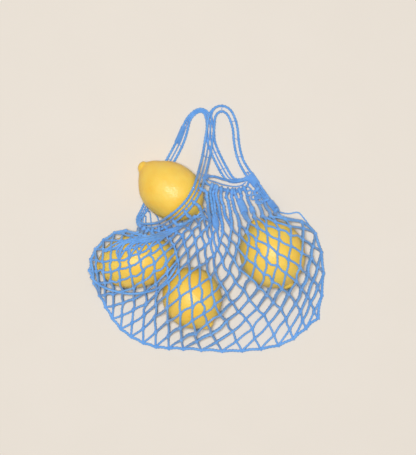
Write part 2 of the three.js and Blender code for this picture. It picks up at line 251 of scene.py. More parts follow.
def back_height(x, y, column, row):
    """Height of the middle of a cord in the back of the net."""
    deep = np.clip(row, 0, ROWS)
    lifts = []
    for edge_column, edge_row, away in (
        (np.zeros_like(row), deep, column),
        (np.full_like(row, COLUMNS), deep, COLUMNS - column),
        (column, np.full_like(row, ROWS), (ROWS - row) / 2),
    ):
        place = fan(edge_column, edge_row, FRONT_RIM)
        height = front_height(*place.T, edge_column, edge_row) - FLOOR_CORD
        lifts.append(height * (1 - smooth(away / TURN_UP)))
    return FLOOR_CORD + np.maximum.reduce(lifts)


corner = back_height(*FAN[0, 0], np.zeros(1), np.zeros(1))[0]
print(f"the back's left corner is {corner:.1f} mm up")

# %% [markdown]
# ## One cord
#
# Cotton cord is three yarns twisted together, so three rounded lobes wind along it. A three-lobed section
# that is swept along the path and turned as it goes gives that, with nine corners to a ring. A curve object
# with a round bevel would be quicker to write, but it can't wind.

# %% A path in even steps, and directions along it and across it
OFF_AXIS = (0.31, 0.22, 0.93)  # a direction in which no cord starts


def unit(rows):
    """Every row brought to length 1."""
    return rows / np.linalg.norm(rows, axis=1, keepdims=True)


def between(at, known, rows):
    """Rows of numbers at places between the known ones."""
    return np.stack([np.interp(at, known, numbers) for numbers in rows.T], axis=1)


def resampled(path, spacing):
    """The same line with evenly spaced points."""
    length = np.concatenate([[0], np.cumsum(np.linalg.norm(np.diff(path, axis=0), axis=1))])
    count = max(round(length[-1] / spacing), 2)
    return between(np.linspace(0, length[-1], count + 1), length, path)


def sideways(path):
    """A direction across the path at each point, carried along it without turning about it."""
    ahead = unit(np.gradient(path, axis=0))
    across = np.empty_like(ahead)
    side = np.cross(ahead[0], OFF_AXIS)
    for i, tangent in enumerate(ahead):
        side = side - tangent * (side @ tangent)
        side = side / np.linalg.norm(side)
        across[i] = side
    return ahead, across


sample = resampled(np.array([(0, 0, 0), (CORD, 0, 0)]), 0.5)
print(f"{CORD} mm in steps of about 0.5 mm takes {len(sample)} points")

# %% The mesh of one swept cord
TWIST_PITCH = 10.0  # length of one full turn of the yarns
LOBE = 0.14  # how far the yarns stand out from a plain round
BEAD_PITCH = 3.8  # length from one bulge of a crumpled strand to the next
TIP = 0.5  # how far the end of a cord bulges, in radii
ROUND = dict(lobes=0, sides=6)  # a plain thread, too thin to show its yarns


def tube_faces(rings, sides):
    """Faces of a closed tube of rings, whose two end points come after the rings."""
    here = np.arange(rings * sides).reshape(rings, sides)
    there = np.roll(here, -1, axis=1)
    quads = np.stack([here[:-1], there[:-1], there[1:], here[1:]], axis=2).reshape(-1, 4)
    tip = np.full(sides, rings * sides)
    near = np.stack([tip, there[0], here[0]], axis=1)
    far = np.stack([tip + 1, here[-1], there[-1]], axis=1)
    return quads, np.concatenate([near, far])


def swept(path, radius, spacing, lobes, sides, beads=0.0):
    """Points and faces of one closed cord along a path."""
    path = resampled(np.asarray(path, float), spacing)
    ahead, across = sideways(path)
    up = np.cross(ahead, across)
    angle = np.arange(sides) * math.tau / sides
    gone = np.arange(len(path)) * spacing
    turn = angle + (gone / TWIST_PITCH * math.tau * bool(lobes))[:, None]
    lobed = radius * (1 + LOBE * bool(lobes) * np.cos(angle * lobes))
    reach = lobed * (1 + beads * np.cos(gone / BEAD_PITCH * math.tau))[:, None]
    sideward, upward = ((wave(turn) * reach)[..., None] for wave in (np.cos, np.sin))
    points = (path[:, None] + sideward * across[:, None] + upward * up[:, None]).reshape(-1, 3)
    ends = path[[0, -1]] + ahead[[0, -1]] * [[-TIP * radius], [TIP * radius]]
    points = np.concatenate([points, ends])
    points[:, 2] = points[:, 2].clip(0)  # soft cord presses flat where it lies on the floor
    return points, *tube_faces(len(path), sides)


points, quads, triangles = swept(sample, CORD / 2, 0.5, lobes=3, sides=9)
print(f"that much cord is {len(points)} points and {len(quads) + len(triangles)} faces")

# %% Many parts joined into one Blender object


def mesh_object(name, parts, material):
    """One object from (points, quads, triangles) parts, given in millimetres."""
    points, faces = [], []
    for part_points, quads, triangles in parts:
        faces += (quads + len(points)).tolist() + (triangles + len(points)).tolist()
        points += (part_points * MM).tolist()
    mesh = bpy.data.meshes.new(name)
    mesh.from_pydata(points, [], faces)
    mesh.validate()
    mesh.shade_smooth()
    mesh.materials.append(material)
    thing = bpy.data.objects.new(name, mesh)
    scene.collection.objects.link(thing)
    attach(thing, "root")
    print(f"{name}: parts {len(parts)}, triangles {sum(len(face) - 2 for face in faces)}")
    return thing


def cords(name, paths, material, radius=CORD / 2, spacing=1.25, lobes=3, sides=9, beads=0.0):
    """One object from the paths of cords."""
    parts = [swept(path, radius, spacing, lobes, sides, beads) for path in paths]
    return mesh_object(name, parts, material)


# %% [markdown]
# ## Materials
#
# The cord is dyed cotton: matt, a little uneven in its dye, and fuzzy, which a sheen gives. The peel is
# waxy, with oil pores that are pits about a millimetre and a half apart.

# %% Materials of two colours in soft blotches


def noise(tree, coordinates, size_mm, detail=2.0):
    """A noise texture whose blotches are about size_mm across."""
    node = tree.nodes.new("ShaderNodeTexNoise")
    node.inputs["Scale"].default_value = 1 / (size_mm * MM)
    node.inputs["Detail"].default_value = detail
    tree.links.new(coordinates, node.inputs["Vector"])
    return node.outputs["Fac"]


def ramp(tree, value, stops):
    """A value turned into a colour between two stops."""
    node = tree.nodes.new("ShaderNodeValToRGB")
    for element, (place, colour) in zip(node.color_ramp.elements, stops):
        element.position = place
        element.color = (*colour, 1)
    tree.links.new(value, node.inputs["Fac"])
    return node.outputs["Color"]


def bump(tree, height, distance_mm, strength, under=None):
    """A height turned into a relief, over another one where that is given."""
    node = tree.nodes.new("ShaderNodeBump")
    node.inputs["Distance"].default_value = distance_mm * MM
    node.inputs["Strength"].default_value = strength
    tree.links.new(height, node.inputs["Height"])
    if under is not None:
        tree.links.new(under, node.inputs["Normal"])
    return node.outputs["Normal"]


def blotched(name, size_mm, detail, stops, settings):
    """A material with its shader set, and its nodes, that shader and the place on the object."""
    material = bpy.data.materials.new(name)
    material.use_nodes = True
    tree = material.node_tree
    shader = tree.nodes["Principled BSDF"]
    place = tree.nodes.new("ShaderNodeTexCoord").outputs["Object"]
    tree.links.new(ramp(tree, noise(tree, place, size_mm, detail), stops), shader.inputs["Base Color"])
    for setting, value in settings.items():
        shader.inputs[setting].default_value = value
    print(f"{name}: blotches of {size_mm} mm")
    return material, tree, shader, place


# %% Dyed cotton


def cotton(name, pale, deep):
    """Matt, uneven and fuzzy, between two shades."""
    material, tree, shader, place = blotched(name, 9, 4, [(0.3, deep), (0.72, pale)], {
        "Roughness": 0.9, "Specular IOR Level": 0.2, "Sheen Weight": 0.35, "Sheen Roughness": 0.5,
    })
    fuzz = noise(tree, place, size_mm=0.5, detail=3)
    tree.links.new(bump(tree, fuzz, distance_mm=0.25, strength=0.6), shader.inputs["Normal"])
    return material


net_cotton = cotton("net_cotton", (0.21, 0.47, 0.90), (0.13, 0.36, 0.78))
tape_cotton = cotton("tape_cotton", (0.19, 0.44, 0.87), (0.12, 0.34, 0.75))

# %% Lemon peel
PORE = 1.6  # from one oil pore to the next
YELLOWS = [(0.3, (1.0, 0.58, 0.06)), (0.7, (1.0, 0.68, 0.12))]

waxy_peel, tree, shader, place = blotched("waxy_peel", 22, 3, YELLOWS, {
    "Roughness": 0.42, "Subsurface Weight": 0.15, "Subsurface Scale": 1.0,
    "Subsurface Radius": (0.004, 0.0025, 0.0008),
})
pores = tree.nodes.new("ShaderNodeTexVoronoi")
pores.inputs["Scale"].default_value = 1 / (PORE * MM)
tree.links.new(place, pores.inputs["Vector"])
pits = bump(tree, pores.outputs["Distance"], distance_mm=0.3, strength=0.5)
swells = bump(tree, noise(tree, place, size_mm=5), distance_mm=0.5, strength=0.35, under=pits)
tree.links.new(swells, shader.inputs["Normal"])

# %% [markdown]
# ## The net's own lines
#
# Two families of cords cross the net slantwise and are knotted where they meet. Every point is kept with
# its column and row, so that its height can be asked for. Hand-tied meshes are uneven, so every knot is
# nudged a little, by the same amount for all the cords that it ties.

# %% Knots, nudged
NUDGE = 0.7  # a usual one, in each direction
rng = np.random.default_rng(7)
nudges = rng.normal(0, NUDGE, (ROWS * 2 + 4, COLUMNS * 4 + 4, 2))  # for every quarter column, half row


def net_points(halves, rows, rim):
    """Plan position, column and row of places given in half columns and rows, nudged inside the edge."""
    column, row = np.asarray(halves, float) / 2, np.asarray(rows, float)
    place = fan(column, row, rim)
    pick = nudges[(row * 2 + 2).round().astype(int), (column * 4).round().astype(int)]
    place = place + pick * np.clip(inward(column, row), 0, 1)[:, None]
    return np.column_stack([place, column, row])


print(f"a nudge is {np.abs(nudges).max():.1f} mm at most")

# %% Which knots every cord goes through


def slanting(direction):
    """Every cord of one family, each as the list of its (half column, row) knots."""
    last = 2 * COLUMNS
    side = 0 if direction > 0 else last
    starts = [(half, 0) for half in range(0, last + 1, 2)] + [(side, row) for row in range(2, ROWS, 2)]
    runs = []
    for half, row in starts:
        run = []
        while 0 <= half <= last and row <= ROWS:
            run.append((half, row))
            half, row = half + direction, row + 1
        if len(run) > 1:
            runs.append(run)
    return runs


print("cords of the two families:", len(slanting(1)), "and", len(slanting(-1)))

# %% The cords of the front and the back


def raised(points, height):
    """Net points turned into places in the air."""
    return np.column_stack([points[:, :2], height(*points.T)])


def lifted(points, height, steps=8):
    """The smooth line through net points, at its height."""
    places = np.linspace(0, len(points) - 1, (len(points) - 1) * steps + 1)
    return raised(along(points, places), height)


def net_paths(height, rim):
    """The path of every cord of one side, with a point at each knot and one between two."""
    paths = []
    for direction in (1, -1):
        for run in slanting(direction):
            fine = np.arange(0, len(run) - 0.5, 0.5)
            halves, rows = (np.interp(fine, np.arange(len(run)), at) for at in np.transpose(run))
            paths.append(lifted(net_points(halves, rows, rim), height))
    return paths


net_front = cords("net_front", net_paths(front_height, FRONT_RIM), net_cotton)
net_floor = cords("net_floor", net_paths(back_height, BACK_RIM), net_cotton, spacing=1.6, sides=6)

# %% [markdown]
# ## Knots
#
# A netting knot is a loop of one cord drawn tight around the other. The loop itself would cost far more
# than it shows, so each knot is one short coil, a turn and a half around the crossing.

# %% One coil at every crossing
KNOT_RADIUS = 1.35
KNOT_CORD = 0.75  # half the thickness of the coil's cord, drawn thin
KNOT_TURNS = 1.6
KNOT_LENGTH = 1.8
KNOT_POINTS = 17


def knot(centre, axis, normal):
    """A coil round the cords that meet at a crossing."""
    side = np.cross(axis, normal)
    turn = np.linspace(0, KNOT_TURNS * math.tau, KNOT_POINTS)[:, None]
    slide = np.linspace(-KNOT_LENGTH / 2, KNOT_LENGTH / 2, KNOT_POINTS)[:, None]
    path = centre + axis * slide + (np.cos(turn) * side + np.sin(turn) * normal) * KNOT_RADIUS
    return swept(path, KNOT_CORD, spacing=0.9, **ROUND)


def knots(name, height, rim, inset):
    """A knot at every crossing that is at least inset half meshes in from the edge."""
    parts = []
    for row in range(ROWS + 1 - inset):
        halves = np.arange(row % 2, 2 * COLUMNS + 1, 2)
        halves = halves[(halves >= inset) & (halves <= 2 * COLUMNS - inset)]
        centre = raised(net_points(halves, np.full(len(halves), row), rim), height)
        above = raised(net_points(halves, np.full(len(halves), row - 0.5), rim), height)
        axes = unit(above - centre)
        normals = unit((0, 0, 1) - axes * axes[:, 2:])
        parts += map(knot, centre, axes, normals)
    return mesh_object(name, parts, net_cotton)


knots_front = knots("knots_front", front_height, FRONT_RIM, 0)
knots_floor = knots("knots_floor", back_height, BACK_RIM, 1)  # along the edge the front's knots tie both

# %% [markdown]
# ## Handles and hem
#
# A handle is two cords with a thinner one between them, held side by side by a stitch here and there, so
# light comes through. One length of this tape starts at the right corner, makes the back handle, turns at
# the left corner, edges the mouth, makes the front handle and ends where it started. The thin cord is
# spliced into an edge cord at the top of the front handle, and another fills its leg between two bindings.
# The short hem between the legs is made the same way.

# %% How high a tape lies
TAPE_CLEARANCE = 1.1  # from the peel to the underside of the tape
FREE_HEIGHT = 8  # height of the drape below which a tape leaves it for the floor
BACK_SHOWN = 20  # points of the back handle up to the hem that hides the rest
CROSSING = 11  # how near the back handle the front one is lifted over it
CROSSING_EASE = 9  # length over which it comes down again


def crossing(x, y):
    """How far the front tape is lifted where it crosses the back handle."""
    line = curve(BACK_TAPE[:BACK_SHOWN], 10)
    near = np.min(np.hypot(line[:, 0, None] - x, line[:, 1, None] - y), axis=0)
    return (STRAP + GAP) * (1 - smooth((near - CROSSING) / CROSSING_EASE))


def tape_height(x, y):
    """Height of the underside of a tape that lies on whatever is there."""
    over = drape(x, y, TAPE_CLEARANCE)
    return over * smooth(over / FREE_HEIGHT) + crossing(x, y)


print(f"the front handle lies up to {tape_height(*FRONT_TAPE.T[:2]).max():.0f} mm high")

# %% The line of a tape, and which way it faces
STEP = 2.0  # between two places along a tape
EASE = 5  # places over which a change of height is eased
PROBE = 2  # how far to each side the slope under the tape is felt


def even_line(points):
    """Plan positions and widths at even steps along plan points, and how far along each is."""
    fine = curve(points, 40)
    lengths = np.concatenate([[0], np.cumsum(np.hypot(*np.diff(fine[:, :2], axis=0).T))])
    at = np.linspace(0, lengths[-1], int(lengths[-1] / STEP) + 1)
    return between(at, lengths, fine), at


def tape_frame(points, heights):
    """Middle line, across and up directions, and width, of a tape laid along plan points.

    Heights are lengths along it, each with the share of its full height that the tape has there.
    """
    line, at = even_line(points)
    share = np.interp(at, *np.transpose(heights))
    share = np.convolve(np.pad(share, EASE // 2, mode="edge"), np.full(EASE, 1 / EASE), "valid")
    height = tape_height(line[:, 0], line[:, 1]) * share + STRAP / 2
    middle = np.column_stack([line[:, :2], height])
    ahead = np.gradient(middle, axis=0)
    flat = unit(np.cross((0, 0, 1), ahead))
    sides = [tape_height(*(line[:, :2] + side * flat[:, :2] * PROBE).T) * share for side in (1, -1)]
    across = flat + np.outer((sides[0] - sides[1]) / (2 * PROBE), (0, 0, 1))
    return middle, across, unit(np.cross(ahead, across)), line[:, 2]


back_length = even_line(BACK_TAPE)[1][-1]
front_length = even_line(FRONT_TAPE)[1][-1]
print(f"front handle: {front_length:.0f} mm of tape, back handle: {back_length:.0f} mm")

# %% The loop of tape that makes both handles, and the hem's own
CORNER_SHARE = 0.45  # of the full height, at the bag's corners
COMES_DOWN = 18  # length over which the back handle comes down to the floor
TURN = 6  # half the length of the turn at the left corner
RISE = 0.08  # share of the front handle over which it rises from a corner

loop_length = back_length + front_length
rise = RISE * front_length
loop = tape_frame(np.concatenate([BACK_TAPE[::-1], FRONT_TAPE]), [
    (0, CORNER_SHARE),
    (COMES_DOWN, 0),
    (back_length - TURN, 0),
    (back_length + TURN, CORNER_SHARE),
    (back_length + rise, 1),
    (loop_length - rise, 1),
    (loop_length + TURN, CORNER_SHARE),
])
hem_tape = tape_frame(FRONT_HEM, [(0, 1)])
print(f"places along the loop: {len(loop[0])}, along the hem: {len(hem_tape[0])}")

# %% Cords along a tape
EDGE_CORD = 1.25  # half the thickness of a handle's edge cords
MIDDLE_CORD = 0.75  # half the thickness of its middle cord


def beside(tape, share):
    """A line along a tape, beside its middle. The edge cords run at 1 and -1."""
    middle, across, _, width = tape
    return middle + across * ((width / 2 - CORD / 2) * share)[:, None]


loop_edges, hem_edges = ([beside(tape, side) for side in (-1, 1)] for tape in (loop, hem_tape))
print(f"the loop reaches over {np.ptp(loop_edges, axis=(0, 1))[1]:.0f} mm")

# %% Thread that laces a tape or is wound round it
STITCH_STEP = 9  # places along the tape between two stitches
STITCH_ENDS = 0.4  # how far its ends reach down
STITCH_DIP = 0.9  # how far it goes down under the middle cord
STITCH_POINTS = 25
COIL_POINTS = 12  # to every turn of a coil
WOUND = 0.5  # from what a thread is wound round to the middle of the thread


def stitches(tape):
    """Thread that goes over both edge cords of a tape and under its middle one."""
    middle, across, up, width = tape
    paths = []
    for i in range(STITCH_STEP, len(middle) - STITCH_STEP, STITCH_STEP):
        reach, over = width[i] / 2 - CORD / 2, EDGE_CORD + THREAD / 3
        shape = np.array([
            (-reach - over, -STITCH_ENDS), (-reach, over), (-reach + over, 0), (0, -STITCH_DIP),
            (reach - over, 0), (reach, over), (reach + over, -STITCH_ENDS),
        ])
        here = np.linspace(0, 1, len(shape))[:, None] * (middle[i + 1] - middle[i]) + middle[i]
        bend = here + shape[:, :1] * across[i] + shape[:, 1:] * up[i]
        paths.append(along(bend, np.linspace(0, len(bend) - 1, STITCH_POINTS)))
    return paths


def binding(tape, first, last, turns, side=0):
    """Thread wound round a tape, or the half on one side, between two places along it."""
    middle, across, up, width = tape
    places = np.linspace(first, last, turns * COIL_POINTS)
    numbers = np.arange(len(middle))
    centre, flat, top = (between(places, numbers, rows) for rows in (middle, across, up))
    breadth = np.interp(places, numbers, width)[:, None]
    half = breadth / (4 if side else 2) + WOUND
    angle = np.linspace(0, turns * math.tau, len(places))[:, None]
    outward = breadth / 4 * side + np.cos(angle) * half
    return centre + flat * outward + top * np.sin(angle) * (CORD / 2 + WOUND)


print("stitches along the loop:", len(stitches(loop)))

# %% Where the tape is bound and spliced
HEM_JOINT = [(42.2, 54), (49.5, 43.5)]  # the stretch of leg that the hem is bound to
WHIPPING = [(-21, 101), (-28.5, 84)]  # the stretch of back handle whose outer half is bound
SPLICE = (13, 119)  # where the middle cord ends, at the top of the front handle


def nearest(places, spot):
    """Number of the place that is nearest to a spot on the floor plan."""
    return int(np.argmin(np.hypot(*(places[:, :2] - spot).T)))


front_start = int(back_length / STEP)  # place where the front handle begins
joint = [front_start + nearest(loop[0][front_start:], spot) for spot in HEM_JOINT]
whipping = [nearest(loop[0], spot) for spot in WHIPPING]
splice = front_start + nearest(loop[0][front_start:], SPLICE)
print("hem joint:", joint, "whipping:", whipping, "splice:", splice)

# %% The cords and the thread of the handles and the hem
HEM_CORD, HEM_CORE = 1.2, 0.6  # half the thickness of the hem's cords
SPLICE_LENGTH = 9  # places over which the middle cord joins an edge cord

loop_end, hem_end = len(loop[0]) - 1, len(hem_tape[0]) - 1
aside = smooth((np.arange(splice) - splice + SPLICE_LENGTH) / SPLICE_LENGTH)
cores = [beside([rows[:splice] for rows in loop], aside), loop[0][joint[0] - 2:]]
handles = cords("handles", loop_edges, tape_cotton, radius=EDGE_CORD, spacing=1.1)
handle_cores = cords("handle_cores", cores, tape_cotton, radius=MIDDLE_CORD)
handle_lacing = cords("handle_lacing", stitches(loop), tape_cotton, radius=THREAD / 2, spacing=0.8, **ROUND)
hem = cords("hem", hem_edges, tape_cotton, radius=HEM_CORD)
hem_core = cords("hem_core", [hem_tape[0][2:-3]], tape_cotton, radius=HEM_CORE, spacing=1.1)
bindings = cords("bindings", [
    binding(loop, loop_end - 6, loop_end - 1, turns=11),
    binding(loop, *joint, turns=13),
    binding(loop, *whipping, turns=17, side=-1),
    binding(hem_tape, 0, 2, turns=5),
    binding(hem_tape, hem_end - 2, hem_end, turns=5),
], tape_cotton, radius=WOUND, spacing=0.7, **ROUND)

# %% [markdown]
# ## The gathered top
#
# Each knot of the first row hangs from the mouth's edge by a strand that goes over the tape's edge cord
# and under it. Between the front handle's legs, where the mouth is drawn in most, every other knot has two.
# Gathered, the strands look like a row of ribs, and thread binds two pairs of them together.

# %% The edges of the mouth, from which both sides of the net hang
BACK_HEM = np.array([
    [-45, 51], [-36, 48], [-27, 46], [-10, 44.5], [-1, 43.8], [8, 41.6], [16, 39.6], [24, 38.2], [31, 38.2],
    [37, 41],
])

back_hem = curve(BACK_HEM, 6)
back_hem = np.column_stack([back_hem, np.full(len(back_hem), FLOOR_CORD)])
front_edge = np.concatenate([loop_edges[0][front_start + 2:], hem_edges[0]])
back_edge = np.concatenate([loop_edges[1][:front_start - 1], back_hem])
print("places to hitch a rib to:", len(front_edge), "in front,", len(back_edge), "behind")

# %% One rib, from its knot to its hitch over the edge
RIB = 1.55  # half the thickness of a rib
RIB_GAP = 0.33  # columns to each side, where a knot has two ribs
RIB_SPREAD = 0.3  # share of the way to the rim over which those two part
RIB_SHARE = 0.85  # share of the way to the rim at which a rib begins its hitch
RIB_POINTS = 7
HITCH = (140, 90, 30, -30, -90)  # degrees round the edge cord, from above it to under it


def hitch(tip, anchor):
    """Points that carry a strand over an edge cord, round it and under."""
    out = (anchor - tip) * (1, 1, 0)
    out /= np.linalg.norm(out)
    turn = np.radians(HITCH)[:, None]
    points = anchor + (CORD / 2 + RIB) * (np.cos(turn) * -out + np.sin(turn) * np.array([0, 0, 1.0]))
    points[:, 2] = np.maximum(points[:, 2], RIB)
    return points


def rib(half, side, height, rim, edge):
    """One strand from a knot of the first row up to the edge of the mouth."""
    up = np.linspace(0, RIB_SHARE, RIB_POINTS)
    column = np.clip(half / 2 + side * RIB_GAP * smooth(up / RIB_SPREAD), 0, COLUMNS)
    place = fan(column, -up, rim)
    place[0] = net_points([half], [0], rim)[0, :2]
    place[1:] += waves[half, side]
    climb = np.column_stack([place, height(place[:, 0], place[:, 1], column, -up)])
    anchor = edge[nearest(edge, place[-1])]
    climb[:, 2] += (anchor[2] - climb[-1, 2]) * smooth(up / RIB_SHARE)
    return curve(np.concatenate([climb, hitch(climb[-1], anchor)]), 6)


print(f"a rib goes {max(HITCH) - min(HITCH)} degrees round the edge")

# %% Ribs in pairs
DOUBLED = (10, 12, 14)  # the columns whose first knots have two ribs
TIES = [  # two ribs, the shares of their length between which they are bound, and how many turns
    ((28, -1), (28, 1), 0.18, 0.43, 17),
    ((20, -1), (20, 1), 0.02, 0.18, 11),
]
EASING = 0.15  # share of a rib's length over which it comes to its binding
SQUEEZED = 0.75  # how near a binding brings two ribs, 1 where they only touch


def drawn_together(one, other, first, last):
    """Two ribs brought side by side between two shares of their length, as a binding does it."""
    share = np.linspace(0, 1, len(one))[:, None]
    bound_there = smooth((share - first + EASING) / EASING) * smooth((last + EASING - share) / EASING)
    centre, apart = (one + other) / 2, (other - one) / 2
    distance = np.linalg.norm(apart, axis=1, keepdims=True).clip(0.01)  # it is 0 in a knot of both
    apart = apart * (1 + (np.minimum(1, SQUEEZED * RIB / distance) - 1) * bound_there)
    return centre - apart, centre + apart


starts = [(2 * column, side) for column in range(COLUMNS + 1)
          for side in ((-1, 1) if column in DOUBLED else (0,))]
print(f"{len(starts)} ribs, of which {2 * len(TIES)} are bound in pairs")

# %% The ribs of both sides
RIB_WAVE = 0.35  # how far a rib wavers, usually
BACK_CORD = 0.8  # half the thickness of the cords at the back

waves = {start: rng.normal(0, RIB_WAVE, (RIB_POINTS - 1, 2)) for start in starts}
ribs = {start: rib(*start, front_height, FRONT_RIM, front_edge) for start in starts}
for one, other, first, last, turns in TIES:
    ribs[one], ribs[other] = drawn_together(ribs[one], ribs[other], first, last)
back_ribs = [rib(*start, back_height, BACK_RIM, back_edge) for start in starts]
ribs_front = cords("ribs_front", ribs.values(), net_cotton, radius=RIB, spacing=0.8, beads=0.2)
ribs_floor = cords("ribs_floor", [*back_ribs, back_hem], net_cotton, radius=BACK_CORD, spacing=1.6)

# %% [markdown]
# ## Cords along the gathers, and loose ends
#
# A cord across the first knots draws the gathers in. Nine more run from it to the left corner in one bunch
# and part over the lemon there like the hairs of a brush, each tied off at a knot. A fold line runs under
# that lemon, a stout cord goes round the edge, and where the bag was mended the thread was left in tangles.
# One function lays them all over the drape. Only a slack thread at the right has heights of its own.

# %% Where these cords run on the floor plan
FOLD = [
    (-115, -48), (-108, -55), (-98, -60), (-86, -63.5), (-74, -65), (-61, -63.5), (-49, -59.5), (-40, -52),
    (-34, -44), (-30, -37),
]
BUNCH = [
    (-2, 19), (-10, 11.5), (-19.5, 5), (-30, -1.2), (-41, -6.2), (-51, -9.3), (-61, -11.6), (-71, -14),
    (-80, -16),
]
BUNCH_CORDS = [  # where each joins the bunch and leaves it, and where it goes on from there
    (5, 9, [(-90, -15.5), (-101, -23), (-108, -35)]),
    (5, 9, [(-90, -19), (-99, -26)]),
    (4, 9, [(-88, -21.5), (-95, -30)]),
    (1, 9, [(-84, -22), (-90, -32)]),
    (0, 8, [(-79, -20), (-83, -30)]),
    (2, 8, [(-75, -20.5), (-78, -29)]),
    (4, 7, [(-69, -19), (-75, -28)]),
    (4, 6, [(-60, -15), (-67, -25)]),
    (3, 5, [(-51, -12.5), (-59, -21)]),
]
SHOULDER = [  # a slack thread, with its height as the third number
    (67, 18.5, 9), (74, 15.5, 4), (82, 14.3, 0.9), (91, 15.5, 0.8), (97, 9.5, 0.8), (102, 2.5, 3),
    (107, -7, 7),
]
SINGLE_TIE = ((30, 0), (30, 0), 0.12, 0.24, 6)  # a rib bound by itself
TANGLES = [  # from where to where, in how many loops, and how far out these reach
    ((39.5, 38), (53, 26), 3, 3.7),
    ((48, 36), (56, 24), 2, 2.6),
]
print("cords in the bunch:", len(BUNCH_CORDS))

# %% The cord round the edge
BAG_MIDDLE = np.array([0, -50])
EDGE_PULL = 0.9  # how far the net draws its edge in between two knots
EDGE_STEP = 0.5  # columns or rows between two points


def edge_points():
    """The outline of the net, from the left corner down, along the foot and up to the right corner."""
    down = np.arange(-1, ROWS + EDGE_STEP, EDGE_STEP)
    foot_columns = np.arange(EDGE_STEP, COLUMNS, EDGE_STEP)
    column = np.concatenate([np.zeros(len(down)), foot_columns, np.full(len(down), COLUMNS)])
    row = np.concatenate([down, np.full(len(foot_columns), ROWS), down[::-1]])
    place = fan(column, row, FRONT_RIM)
    slack = np.abs(np.sin(math.pi * column) + np.sin(math.pi * row / 2))[:, None]  # 0 at the knots
    return np.column_stack([place + EDGE_PULL * slack * unit(BAG_MIDDLE - place), column, row])


print("points round the edge:", len(edge_points()))

# %% A cord across the gathers, and cords laid over everything
GATHER_POINTS = 24
GATHER_WAVE = 0.3  # how far it wavers, usually

column, row = np.linspace(0, COLUMNS / 2, GATHER_POINTS), np.zeros(GATHER_POINTS)
place = fan(column, row, FRONT_RIM) + rng.normal(0, GATHER_WAVE, (GATHER_POINTS, 2))
gather = lifted(np.column_stack([place, column, row]), lambda *at: front_height(*at) + RIB)


def over_drape(x, y, lift):
    """A path over plan positions, lifted off the drape."""
    return np.column_stack([x, y, np.maximum(drape(x, y, NET_CLEARANCE), FLOOR_CORD) + lift])


def laid(points, lift):
    """A cord laid over everything along plan points."""
    return over_drape(*curve(points, 12).T, lift)


def eased(path, start, end, count):
    """The path with its two ends brought to given heights, over so many points each."""
    path = path.copy()
    share = 1 - smooth(np.arange(count) / (count - 1))
    path[:count, 2] += (start - path[0, 2]) * share
    path[-count:, 2] += (end - path[-1, 2]) * share[::-1]
    return path


print(f"the fold line climbs to {laid(FOLD, 0)[:, 2].max():.0f} mm")

# %% Bound ribs and tangles
LOOP_POINTS = 14  # to every loop of a tangle
TANGLE_LIFT = 2
TANGLE_HEIGHT = 0.9  # how far its loops rise and fall


def bound(one, other, first, last, turns):
    """Thread wound round two ribs, or one, between two shares of their length."""
    pair = np.array([ribs[one], ribs[other]])
    numbers = np.linspace(first, last, turns * COIL_POINTS) * (pair.shape[1] - 1)
    one, other = (along(path, numbers) for path in pair)
    centre, apart = (one + other) / 2, other - one
    ahead = unit(np.gradient(centre, axis=0))
    side = apart if apart.any() else np.cross((0, 0, 1), ahead)
    side = unit(side - ahead * (side * ahead).sum(axis=1, keepdims=True))
    top = np.cross(ahead, side)
    angle = np.linspace(0, turns * math.tau, len(centre))[:, None]
    reach = RIB + WOUND
    half = np.linalg.norm(apart, axis=1, keepdims=True) / 2 + reach
    return centre + side * np.cos(angle) * half + top * np.sin(angle) * reach


def tangled(start, end, loops, reach):
    """A slack cord that runs from one spot to another in small loops."""
    t = np.linspace(0, 1, loops * LOOP_POINTS)
    angle = t * loops * math.tau
    circle = zip(start, end, (np.sin(angle), np.cos(angle)))
    x, y = (low + (high - low) * t + reach * wave for low, high, wave in circle)
    return over_drape(x, y, TANGLE_LIFT + TANGLE_HEIGHT * np.sin(angle / 2))


tangles = [tangled(*tangle) for tangle in TANGLES]
print("tangles:", len(tangles))

# %% The bunch
BUNCH_LIFT = 2.2  # from the middle of the net's cords to that of the lowest one
BUNCH_LAYER = 0.8  # how much higher every other one lies
BUNCH_PITCH = 0.95
BUNCH_WAVE = 0.12
BUNCH_WIDENS = 2  # points over which it widens from where a cord joins it
BUNCH_ROWS = 7  # rows of knots that its cords can be tied to
TUCK = 3.5  # how far its cords dive under the ribs where they start
TIED = 1.4  # how far they come down into the knots
TUCK_POINTS = 10  # points of a path over which they do either


def bunched():
    """The cords that run together along the tape and part over the left lemon."""
    crossings = [(half, row) for row in range(BUNCH_ROWS) for half in range(row % 2, COLUMNS, 2)]
    knots_there = net_points(*np.array(crossings).T, FRONT_RIM)[:, :2]
    paths = []
    for k, (joins, leaves, tips) in enumerate(BUNCH_CORDS):
        shared = np.array(BUNCH[joins:leaves], float)
        ahead = np.gradient(shared, axis=0)
        side = unit(np.column_stack([-ahead[:, 1], ahead[:, 0]]))
        widening = smooth(np.arange(len(shared)) / BUNCH_WIDENS) if joins else np.ones(len(shared))
        apart = BUNCH_PITCH * (k - (len(BUNCH_CORDS) - 1) / 2) * widening
        shared = shared + side * apart[:, None] + rng.normal(0, BUNCH_WAVE, shared.shape)
        tied = knots_there[nearest(knots_there, tips[-1])]
        path = laid(np.concatenate([shared, tips[:-1], [tied]]), BUNCH_LIFT + (k % 2) * BUNCH_LAYER)
        paths.append(eased(path, path[0, 2] - TUCK, path[-1, 2] - TIED, TUCK_POINTS))
    return paths


gathers = [gather, *bunched()]
print("cords along the gathers:", len(gathers))

# %% The cords themselves
DRAW_CORD, FOLD_CORD, EDGE_ROUND = 1.05, 1.3, 1.4  # half the thickness of each
SHOULDER_CORD, WRAPPING = 0.75, 0.75
FOLD_LIFT = 1.6
CORNER_POINTS = 17  # points over which the edge cord comes to the tape

